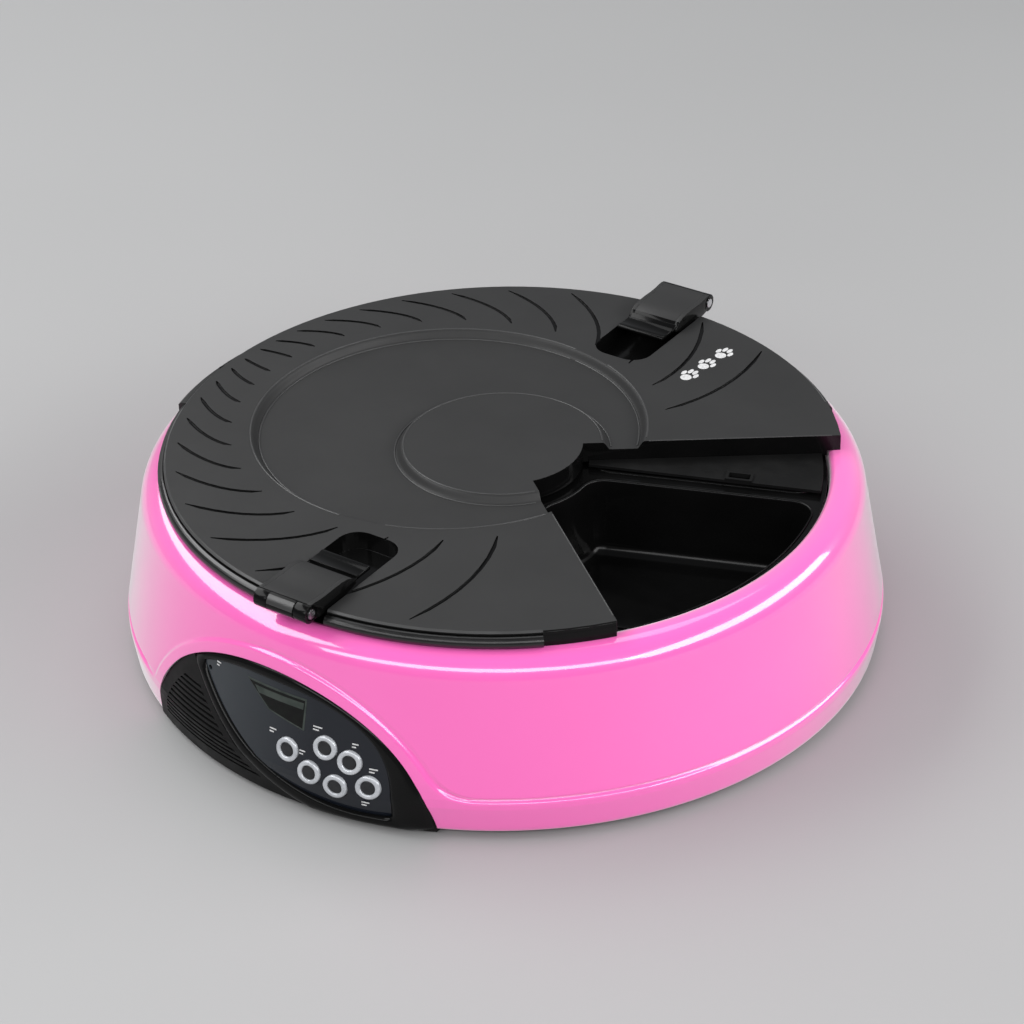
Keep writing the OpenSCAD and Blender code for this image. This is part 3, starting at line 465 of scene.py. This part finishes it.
def ring_profile(angle):
    """The ring's closed cross-section at an angle, as (radius, height), counted from inside the foot."""
    rows = [(BELT_R - BAND_TAPER - WALL, FOOT_Z), (BELT_R - BAND_TAPER - 0.9, FOOT_Z),
            (BELT_R - BAND_TAPER - 0.35, FOOT_Z + 0.15)]
    heights = [lowest + step * i for lowest, step, count in WALL_ROWS for i in range(count)]
    rows += [(ring_outside(angle, z), z) for z in heights]
    for i in range(LIP_STEPS + 1):
        a = LEAN + (math.pi / 2 - LEAN) * i / LIP_STEPS
        rows.append((LIP_C_R + LIP_ROUND * math.cos(a), LIP_C_Z + LIP_ROUND * math.sin(a)))
    rows += [(LIP_C_R - 1.4, LIP_Z), (WELL_R + 2.0, LIP_Z - 0.15), (WELL_R + 1.0, LIP_Z - 0.7),
             (WELL_R + 0.35, LIP_Z - 1.7), (WELL_R + 0.05, LIP_Z - 3.2), (WELL_R, SKIRT_Z),
             (WELL_R + 2.2, SKIRT_Z), (WELL_R + 2.2, LIP_Z - WALL - 0.8), (LIP_C_R, LIP_Z - WALL)]
    for i in range(LIP_STEPS_INSIDE + 1):
        a = math.pi / 2 - (math.pi / 2 - LEAN) * i / LIP_STEPS_INSIDE
        rows.append((LIP_C_R + (LIP_ROUND - WALL) * math.cos(a),
                     LIP_C_Z + (LIP_ROUND - WALL) * math.sin(a)))
    rows += [(BELT_R - WALL - 1.2, BELT_Z + 1), (BELT_R - WALL - 1.2, BELT_Z - 3)]
    return rows


def build_ring():
    """The ring, with fine columns in front, where the border is, and an oval hole for the panel."""
    fine = math.radians(0.25)
    half = math.radians(36)
    front = [-math.pi / 2 - half + fine * i for i in range(round(2 * half / fine))]
    rest = 2 * math.pi - 2 * half
    coarse = 288
    back = [-math.pi / 2 + half + rest * i / coarse for i in range(coarse)]
    angles = front + back
    profiles = [ring_profile(a) for a in angles]
    verts = [(r * math.cos(a), r * math.sin(a), z) for a, rows in zip(angles, profiles) for r, z in rows]
    ring = raw_object("ring_shell", verts, grid_faces(len(angles), len(profiles[0]), True, True))
    turns = 192
    oval = [(PANEL_A * math.cos(2 * math.pi * i / turns), PANEL_B * math.sin(2 * math.pi * i / turns))
            for i in range(turns)]
    cutter = prism("panel_cutter", oval, lambda p, k: (p[0], mix(-BELT_R - 9, -WELL_R + 12, k), p[1]))
    modify(ring, "BOOLEAN", operation="DIFFERENCE", object=cutter, solver="EXACT")
    bpy.data.objects.remove(cutter)
    finish_piece(ring, "pink_gloss", "base", ["outer_ring"], 40)


# ---------------------------------------------------------------- the control panel

def on_panel(x, z, height=0.0):
    """The place on the panel's skin behind a point seen from the front, raised by a height."""
    r = wall_r(z) if z > BELT_Z + 1 else BELT_R - BELT_INSET * smooth((z - BELT_Z + 1) / 2)
    return (x, -math.sqrt((r + height) ** 2 - x * x), z)


def reach(inside, centre, angle):
    """How far a ray runs from a centre before it leaves a convex outline."""
    near, far = 0.0, 160.0
    for _ in range(40):
        middle = (near + far) / 2
        if inside(centre[0] + middle * math.cos(angle), centre[1] + middle * math.sin(angle)):
            near = middle
        else:
            far = middle
    return near


def in_sweep(x, z, grow):
    """Inside the circle that bounds the window below and on the left, grown by a width."""
    return math.hypot(x - SWEEP_X, z - SWEEP_Z) < SWEEP_R + grow


def in_oval(x, z, grow):
    """Inside the panel's oval, grown by a width."""
    return math.hypot(x / (PANEL_A + grow), z / (PANEL_B + grow)) < 1


def in_window(x, z):
    """Inside the window: a squarish oval, cut by the circle."""
    u, v = abs(x) / WINDOW_A, abs(z - WINDOW_Z) / WINDOW_B
    return u ** 2.5 + v ** 2.5 < 1 and in_sweep(x, z, 0.0)


def in_frame(x, z):
    """Inside the outer edge of the window's frame."""
    return in_sweep(x, z, FRAME_W) and in_oval(x, z, -0.5) and z > FOOT_Z - 1


def build_frame():
    """The polished frame round the window: a rounded rib that runs out to the panel's edge."""
    centre = (12.0, 24.0)
    turns = 240
    section = [(0.0, -1.0), (0.0, -0.25), (0.03, 0.1), (0.08, 0.42), (0.16, 0.7), (0.27, 0.9),
               (0.4, 1.0), (0.52, 1.0), (0.64, 0.9), (0.75, 0.7), (0.84, 0.45), (0.91, 0.18),
               (0.96, -0.1), (1.0, -0.45), (1.0, -0.9)]
    verts = []
    for i in range(turns):
        angle = 2 * math.pi * i / turns
        inner = reach(in_window, centre, angle)
        outer = reach(in_frame, centre, angle)
        outer = max(outer, inner + 1.2)
        crown = mix(0.85, 1.7, smooth((outer - inner - 7) / 8))
        for share, height in section:
            r = mix(inner, outer, share)
            lift = height * crown if height > 0 else height
            verts.append(on_panel(centre[0] + r * math.cos(angle), centre[1] + r * math.sin(angle), lift))
    faces = grid_faces(turns, len(section), True, False) + closing_faces(turns, len(section))
    piece("display_frame", verts, faces, "black_gloss", "base", ["display_bezel"], 50)


def patch(name, corners, height, thick, material, steps=10):
    """A thin plate on the panel's skin between four corners seen from the front."""
    verts, n = [], steps + 1
    for layer in (height, height - thick):
        for i in range(n):
            for j in range(n):
                u, v = i / steps, j / steps
                x = mix(mix(corners[0][0], corners[1][0], u), mix(corners[3][0], corners[2][0], u), v)
                z = mix(mix(corners[0][1], corners[1][1], u), mix(corners[3][1], corners[2][1], u), v)
                verts.append(on_panel(x, z, layer))
    top = grid_faces(n, n)
    faces = top + [tuple(k + n * n for k in reversed(f)) for f in top]
    rim = ([i for i in range(n)] + [i * n + n - 1 for i in range(1, n)]
           + [(n - 1) * n + j for j in range(n - 2, -1, -1)] + [i * n for i in range(n - 2, 0, -1)])
    faces += [(rim[k], rim[(k + 1) % len(rim)], rim[(k + 1) % len(rim)] + n * n, rim[k] + n * n)
              for k in range(len(rim))]
    piece(name, verts, faces, material, "base")


def build_display():
    """The dark display just under the window's face, its paler edge and strip, and the marks."""
    patch("display_line", [(-11.6, 50.5), (17.8, 50.5), (17.5, 37.1), (0.2, 40.5)], -0.13, 0.2, "lcd_line")
    patch("display_glass", [(-10.5, 49.7), (17.0, 49.7), (16.6, 37.8), (0.6, 41.1)], -0.08, 0.2, "lcd_grey")
    patch("display_strip", [(-7.4, 48.6), (16.6, 48.6), (16.5, 45.9), (-5.2, 45.9)], -0.04, 0.1, "lcd_line")
    # the marks beside the buttons, and one at the window's upper left: (left end, height, length)
    marks = [(1.5, 33.4, 3.2), (21.5, 40.6, 4.0), (16.2, 28.6, 2.6), (38.4, 37.4, 2.6),
             (46.0, 28.4, 3.4), (43.5, 13.2, 3.2), (-29.0, 49.6, 2.4)]
    half, pitch = 0.28, 1.3
    for number, (x, z, length) in enumerate(marks, 1):
        for line in (0, 1):
            low = z - pitch * line
            width = length * (1 - 0.35 * line)
            corners = [(x, low + half), (x + width, low + half), (x + width, low - half), (x, low - half)]
            patch(f"mark_{number}_{line + 1}", corners, 0.03, 0.06, "print_white", steps=2)


def build_buttons():
    """Each key is a satin ring round a darker domed core, following the panel's skin."""
    ring_section = [(5.0, -3.0), (5.0, 0.2), (4.93, 0.5), (4.75, 0.74), (4.4, 0.88), (4.0, 0.9),
                    (3.6, 0.86), (3.25, 0.72), (3.08, 0.5), (3.02, 0.2), (3.0, -3.0)]
    core_section = [(2.92, -3.0), (2.92, 0.1), (2.8, 0.3), (2.5, 0.44), (1.8, 0.52), (0.9, 0.57),
                    (0.02, 0.58)]
    turns = 64
    for number in range(1, 7):
        low, high = low_high(f"button_{number}")
        x0, z0 = (low.x + high.x) / 2, (low.z + high.z) / 2
        for label, section, material in (("ring", ring_section, "button_grey"),
                                         ("core", core_section, "button_core")):
            verts = []
            for i in range(turns):
                a = 2 * math.pi * i / turns
                verts += [on_panel(x0 + r * math.cos(a), z0 + r * math.sin(a), h) for r, h in section]
            n = len(section)
            faces = grid_faces(turns, n, True, False)
            if label == "ring":
                faces += closing_faces(turns, n)
            else:
                faces += [tuple(i * n for i in range(turns)), tuple(i * n + n - 1 for i in range(turns))]
            piece(f"button_{number}_{label}", verts, faces, material, f"button_{number}",
                  [f"button_{number}"] if label == "ring" else [], 60)


# ---------------------------------------------------------------- the bowls

def arc(cx, cy, r, start, end, count):
    """Points along an arc between two angles in degrees."""
    return [(cx + r * math.cos(math.radians(start + (end - start) * i / count)),
             cy + r * math.sin(math.radians(start + (end - start) * i / count))) for i in range(count + 1)]


def bowl_outline(grow):
    """A wedge between two radii with rounded corners, its sides parallel to the spokes."""
    r0, r1 = BOWL_IN_R - grow, BOWL_OUT_R + min(grow, 0.9)
    side, c = SPOKE_HALF - grow, BOWL_CORNER + grow
    half = 180 / BOWL_COUNT
    ao = math.degrees(math.asin((side + c) / (r1 - c)))
    ai = math.degrees(math.asin((side + c) / (r0 + c)))
    spin = math.radians
    outer = ((r1 - c) * math.cos(spin(half - ao)), (r1 - c) * math.sin(spin(half - ao)))
    inner = ((r0 + c) * math.cos(spin(half - ai)), (r0 + c) * math.sin(spin(half - ai)))
    up = (arc(0, 0, r1, 0, half - ao, 16)[:-1] + arc(*outer, c, half - ao, half + 90, 12)
          + arc(*inner, c, half + 90, 180 + half - ai, 12) + arc(0, 0, r0, half - ai, 0, 8)[1:])
    return up + [(x, -y) for x, y in reversed(up[1:-1])]


def build_bowls():
    """The bowls, each with a rolled rim, drafted walls and a rounded foot."""
    rim, plate, floor = bowl_high.z, tray_high.z, bowl_low.z + 1.8
    section = [(1.8, plate - 1.0), (1.8, rim - 0.35), (1.5, rim - 0.08), (1.0, rim), (0.45, rim - 0.05),
               (0.1, rim - 0.35), (-0.05, rim - 1.0), (-0.5, rim - 8), (-1.3, rim - 18), (-1.9, floor + 8)]
    foot, foot_steps = 6.0, 8
    for i in range(1, foot_steps + 1):
        a = math.pi / 2 * i / foot_steps
        section.append((-1.9 - foot * (1 - math.cos(a)) * 0.9, floor + foot - foot * math.sin(a)))
    under = [(-6.0, floor - 1.7), (-2.5, floor - 1.0), (-0.8, floor + 1.2), (-0.1, floor + 5.0),
             (0.9, rim - 12), (1.6, plate - 3)]
    for number in range(BOWL_COUNT):
        turn = math.radians(BOWL_TURN + 360 // BOWL_COUNT * number)
        verts = []
        for grow, z in section + under:
            for x, y in bowl_outline(grow):
                verts.append((x * math.cos(turn) - y * math.sin(turn),
                              x * math.sin(turn) + y * math.cos(turn), z))
        n = len(bowl_outline(0))
        rows = len(section) + len(under)
        inside = len(section)
        faces = [f for f in grid_faces(rows, n, True, True)
                 if not (f[0] // n == inside - 1 and f[3] // n == inside)]
        faces += [tuple(range((inside - 1) * n, inside * n)), tuple(range(inside * n, (inside + 1) * n))]
        piece(f"bowl_{number + 1}", verts, faces, "black_gloss", "tray",
              ["food_bowls"] if number == 0 else [], 45)


# ---------------------------------------------------------------- the latches

# side views, as (distance out from the pin, height over it)
LATCH_TOP = [(0.0, 4.1), (-3.0, 4.0), (-6.0, 3.6), (-10.0, 3.45), (-15.0, 3.6), (-20.0, 3.5), (-23.5, 3.0),
             (-26.2, 1.9), (-28.0, 0.4), (-29.0, -1.6)]
LATCH_UNDER = [(-28.0, -1.9), (-26.8, -0.2), (-24.6, 0.9), (-21.0, 1.5), (-12.0, 1.6), (-5.0, 1.6),
               (-2.2, 1.2)]
LATCH_CHEEK = [(-28.8, -1.9), (-22.0, -3.6), (-13.0, -4.3), (-5.0, -3.9), (-2.0, -3.3)]


def round_outline(r, hole):
    """A knuckle's outline: a disc with its pin hole cut in by a hairline."""
    outer = arc(0, 0, r, 0, 359.2, 40)
    return outer + arc(0, 0, hole, 359.2, 0, 24)


def build_latch(node, angle):
    """A latch's paddle, cheeks, knuckles and finger lip, at a compass angle counted from +X."""
    turn = math.radians(angle)
    pin_low, pin_high = low_high(node.replace("latch", "latch_pin"))
    hinge = (pin_low + pin_high) / 2
    reach_out = math.hypot(hinge.x, hinge.y)
    half = LATCH_HALF

    def lift_between(y0, y1):
        def lift(p, k):
            x, y = reach_out + p[0], mix(y0, y1, k)
            return (x * math.cos(turn) - y * math.sin(turn), x * math.sin(turn) + y * math.cos(turn),
                    hinge.z + p[1])
        return lift

    lip = [(-30.4, -1.7), (-39.3, -1.7), (-39.8, -1.2), (-39.8, -0.6), (-39.3, 0.1), (-38.2, 0.3),
           (-36.6, -0.1), (-31.6, -0.1), (-30.4, 0.5)]
    bridge = [(-26.6, 0.2), (-28.6, -1.7), (-32.0, -1.7), (-32.0, -0.6), (-29.6, -0.6), (-27.4, 1.0)]
    parts = [("paddle", LATCH_TOP + LATCH_UNDER, -half + 1.9, half - 1.9),
             ("cheek_left", LATCH_TOP + LATCH_CHEEK, -half, -half + CHEEK_W),
             ("cheek_right", LATCH_TOP + LATCH_CHEEK, half - CHEEK_W, half),
             ("lip", lip, -half + 1, half - 1),
             ("bridge", bridge, -half + 1, half - 1),
             ("knuckle_left", round_outline(KNUCKLE_R, PIN_HOLE_R), -half, -half + KNUCKLE_W),
             ("knuckle_right", round_outline(KNUCKLE_R, PIN_HOLE_R), half - KNUCKLE_W, half)]
    for number, (label, outline, y0, y1) in enumerate(parts):
        obj = prism(f"{node}_{label}", outline, lift_between(y0, y1))
        modify(obj, "BEVEL", width=0.25 * MM, segments=3, limit_method="ANGLE",
               angle_limit=math.radians(35))
        finish_piece(obj, "lid_grey", node, [node] if number == 0 else [], 40)
        obj.data.materials.append(MATERIALS["black_gloss"])
        for face in obj.data.polygons:
            matte = label in ("paddle", "cheek_left", "cheek_right") and face.normal.z > 0.6
            face.material_index = 0 if matte and face.center.z / MM > hinge.z + 1.4 else 1


# ---------------------------------------------------------------- on the lid

def in_opening(x, y):
    """In the lid's opening or just beside it."""
    bearing = math.degrees(math.atan2(abs(y), x - OPEN_APEX))
    return math.hypot(x, y) > OPEN_R - 1.5 and bearing < OPEN_HALF + 2.5


def near_pocket(x, y):
    """In a latch's pocket or beside it."""
    return abs(y) > 80 and abs(x) < 20


def tube(name, path, z, r, closed=False):
    """A low rounded rib along a level path on the lid."""
    sides, count = 10, len(path)
    flatness = 0.7
    verts = []
    for i, (x, y) in enumerate(path):
        ahead = path[(i + 1) % count] if closed or i < count - 1 else path[i]
        behind = path[i - 1] if closed or i else path[i]
        dx, dy = ahead[0] - behind[0], ahead[1] - behind[1]
        size = math.hypot(dx, dy)
        for k in range(sides):
            b = 2 * math.pi * k / sides
            side = r * math.cos(b)
            verts.append((x + side * dy / size, y - side * dx / size, z + flatness * r * math.sin(b)))
    faces = grid_faces(count, sides, closed, True)
    if not closed:
        faces += [tuple(range(sides)), tuple(range((count - 1) * sides, count * sides))]
    # each rib is painted the lighter grey, a highlight line along the lid's bend
    piece(name, verts, faces, "rim_grey", "lid", crease=60)


def rib(name, cx, r, z, thick):
    """Ribs round a circle on the lid, left out where the lid is cut away."""
    count = 360
    spots = [(cx + r * math.cos(2 * math.pi * i / count), r * math.sin(2 * math.pi * i / count))
             for i in range(count)]
    kept = [not (in_opening(x, y) or near_pocket(x, y)) for x, y in spots]
    if all(kept):
        tube(name, spots, z, thick, True)
        return
    first = next(i for i in range(count) if not kept[i])
    runs = [[]]
    for i in range(first, first + count):
        if kept[i % count]:
            runs[-1].append(spots[i % count])
        elif runs[-1]:
            runs.append([])
    for number, run in enumerate([run for run in runs if len(run) > 2], 1):
        tube(f"{name}_{number}", run, z, thick)


def build_ribs():
    """The lid's bends as low ribs, painted a lighter grey as a highlight line: the dish's edges, the disc's
    edges and the opening's edges.
    """
    rib("dish_edge_outer", DISH_X, 84.2, LID_Z - 0.05, 0.42)
    rib("dish_edge_inner", DISH_X, 80.6, LID_Z - 3.42, 0.42)
    rib("disc_edge_outer", 0.0, 45.4, LID_Z - 3.42, 0.38)
    rib("disc_edge_inner", 0.0, 41.8, LID_Z - 0.22, 0.38)
    spread, back_off = math.radians(OPEN_HALF), 0.25
    for label, side in (("right", 1), ("left", -1)):
        path = [(OPEN_APEX + t * math.cos(spread) - back_off * math.sin(spread),
                 side * (t * math.sin(spread) + back_off * math.cos(spread)))
                for t in [56 + 1.6 * i for i in range(50)]]
        path = [p for p in path if math.hypot(p[0] - DISH_X, p[1]) > 85 and math.hypot(*p) < LID_R - 0.6]
        tube(f"opening_edge_{label}", path, LID_Z - 0.1, 0.3)


def build_paws():
    """Three paw prints on the lid beside the back latch, each a pad and four toes."""
    # each blob: (across, along, half its width, half its length)
    blobs = [(0.0, -1.6, 2.5, 2.0), (-3.0, 0.9, 1.0, 1.5), (-1.1, 2.9, 1.0, 1.6),
             (1.2, 2.9, 1.0, 1.6), (3.1, 0.9, 1.0, 1.5)]
    across, along, turns = 0.98, 1.25, 28
    for number, (x, y) in enumerate([(33.6, 91.5), (34.6, 104.0), (35.6, 116.5)], 1):
        verts, faces = [], []
        for u, v, a, b in blobs:
            first = len(verts)
            for z in (LID_Z - 0.1, LID_Z + 0.07):
                for i in range(turns):
                    t = 2 * math.pi * i / turns
                    verts.append((x + across * (u + a * math.cos(t)), y + along * (v + b * math.sin(t)), z))
            above = first + turns
            faces += [tuple(range(first, above)), tuple(range(above, above + turns))]
            faces += [(first + i, first + (i + 1) % turns, above + (i + 1) % turns, above + i)
                      for i in range(turns)]
        piece(f"paw_print_{number}", verts, faces, "print_white", "lid")


# ---------------------------------------------------------------- CAD nodes that stay

def dress_cad_nodes():
    """Each CAD node that stays takes its own finish, from the slot that the record gives it."""
    for part in frame["record"]["subparts"]:
        node = frame["nodes"][part["node"]]
        node.data.materials.clear()
        node.data.materials.append(MATERIALS[part["material_slot"]])


def refinish(node, pick):
    """Gives faces of a CAD node other finishes, as a test picks them; None keeps the first one."""
    mesh = frame["nodes"][node].data
    extra = ["black_gloss", "rim_grey", "bead_black"]
    for name in extra:
        mesh.materials.append(MATERIALS[name])
    for face in mesh.polygons:
        chosen = pick(face.center / MM, face.normal)
        face.material_index = 1 + extra.index(chosen) if chosen else 0


def lid_finish(centre, normal):
    """The top and the grip are matte, the rim's bend is smoother and painted a lighter grey as a highlight,
    the grooves and walls are polished.
    """
    out = math.hypot(centre.x, centre.y)
    if out > LID_R + 0.5 and centre.x < -100:
        return None
    # the rim's bend takes the lighter grey: a painted highlight line
    if out > LID_R - 1.0 and centre.z > LID_Z - 0.85 and 0.2 < normal.z < 0.9:
        return "rim_grey"
    if out > LID_R + 0.1 and LID_Z - 6.0 < centre.z < LID_Z - 1.5:
        return "bead_black"
    in_swirl = normal.z > 0.98 and LID_Z - 0.75 < centre.z < LID_Z - 0.65
    if normal.z > 0.3 and centre.z > LID_Z - 3.7 and out < LID_R - 0.1:
        return "black_gloss" if in_swirl else None
    return "black_gloss"


build_ring()
build_frame()
build_display()
build_buttons()
build_bowls()
build_latch("latch_front", -88.0)
build_latch("latch_back", 92.0)
build_ribs()
build_paws()
dress_cad_nodes()
refinish("lid", lid_finish)
# Painted shade: the guard plate under the lid is finished near-black, darker than the lid's grey, for the
# shade under the lid
frame["nodes"]["guard_plate"].data.materials[0] = MATERIALS["black_matte"]


# ---------------------------------------------------------------- floor, light and camera

def build_stage():
    """A plain floor under an even sky."""
    floor_mat = shader("floor", (0.38, 0.38, 0.38), 0.5, Specular_IOR_Level=0.2)
    vary_color(floor_mat, (0.37, 0.37, 0.37), (0.39, 0.39, 0.39), 1.5)
    bpy.ops.mesh.primitive_circle_add(vertices=96, radius=6.0, fill_type="NGON", location=(0, 0, 0))
    floor = bpy.context.object
    floor.name = "floor"
    floor.data.materials.append(floor_mat)
    world = bpy.data.worlds.new("studio")
    bpy.context.scene.world = world
    world.use_nodes = True
    world.node_tree.nodes["Background"].inputs["Color"].default_value = (0.82, 0.84, 0.88, 1)
    world.node_tree.nodes["Background"].inputs["Strength"].default_value = 0.3


def area_light(name, azimuth, elevation, distance, size, power):
    """A soft box that shines at the object from a compass azimuth, counted from +X."""
    a, e = math.radians(azimuth), math.radians(elevation)
    back = Vector((math.cos(a) * math.cos(e), math.sin(a) * math.cos(e), math.sin(e)))
    data = bpy.data.lights.new(name, "AREA")
    data.shape = "RECTANGLE"
    data.size, data.size_y = size
    data.energy = power
    light = bpy.data.objects.new(name, data)
    light.location = Vector((0, 0, 0.05)) + back * distance
    light.rotation_mode = "QUATERNION"
    light.rotation_quaternion = (-back).to_track_quat("-Z", "Y")
    bpy.context.scene.collection.objects.link(light)


def build_lights():
    """Long strips, so that the lip mirrors them as lines."""
    area_light("key", 196, 46, 1.6, (2.2, 0.8), 23)
    area_light("fill_right", 22, 30, 1.6, (2.2, 0.5), 22)
    area_light("front", -62, 36, 1.8, (3.2, 0.4), 20)
    area_light("rim", 118, 62, 1.6, (1.0, 0.6), 3)


def build_camera():
    """The camera looks at the middle of the body from the front right, 32 degrees down."""
    azimuth, elevation, distance, roll = math.radians(36.4), math.radians(32.07), 1.229, -0.02
    target = Vector((0, 0, 0.045))
    back = Vector((math.sin(azimuth) * math.cos(elevation), -math.cos(azimuth) * math.cos(elevation),
                   math.sin(elevation)))
    data = bpy.data.cameras.new("camera")
    data.sensor_width = 36
    data.lens = 101.3
    data.shift_x, data.shift_y = 0.0075, 0.0098
    data.clip_start, data.clip_end = 0.05, 30
    camera = bpy.data.objects.new("camera", data)
    camera.location = target + back * distance
    turn = (-back).to_track_quat("-Z", "Y")
    camera.rotation_mode = "QUATERNION"
    camera.rotation_quaternion = turn @ Matrix.Rotation(roll, 3, "Z").to_quaternion()
    bpy.context.scene.collection.objects.link(camera)
    bpy.context.scene.camera = camera


build_stage()
build_lights()
build_camera()
bpy.context.scene.view_settings.view_transform = "Standard"
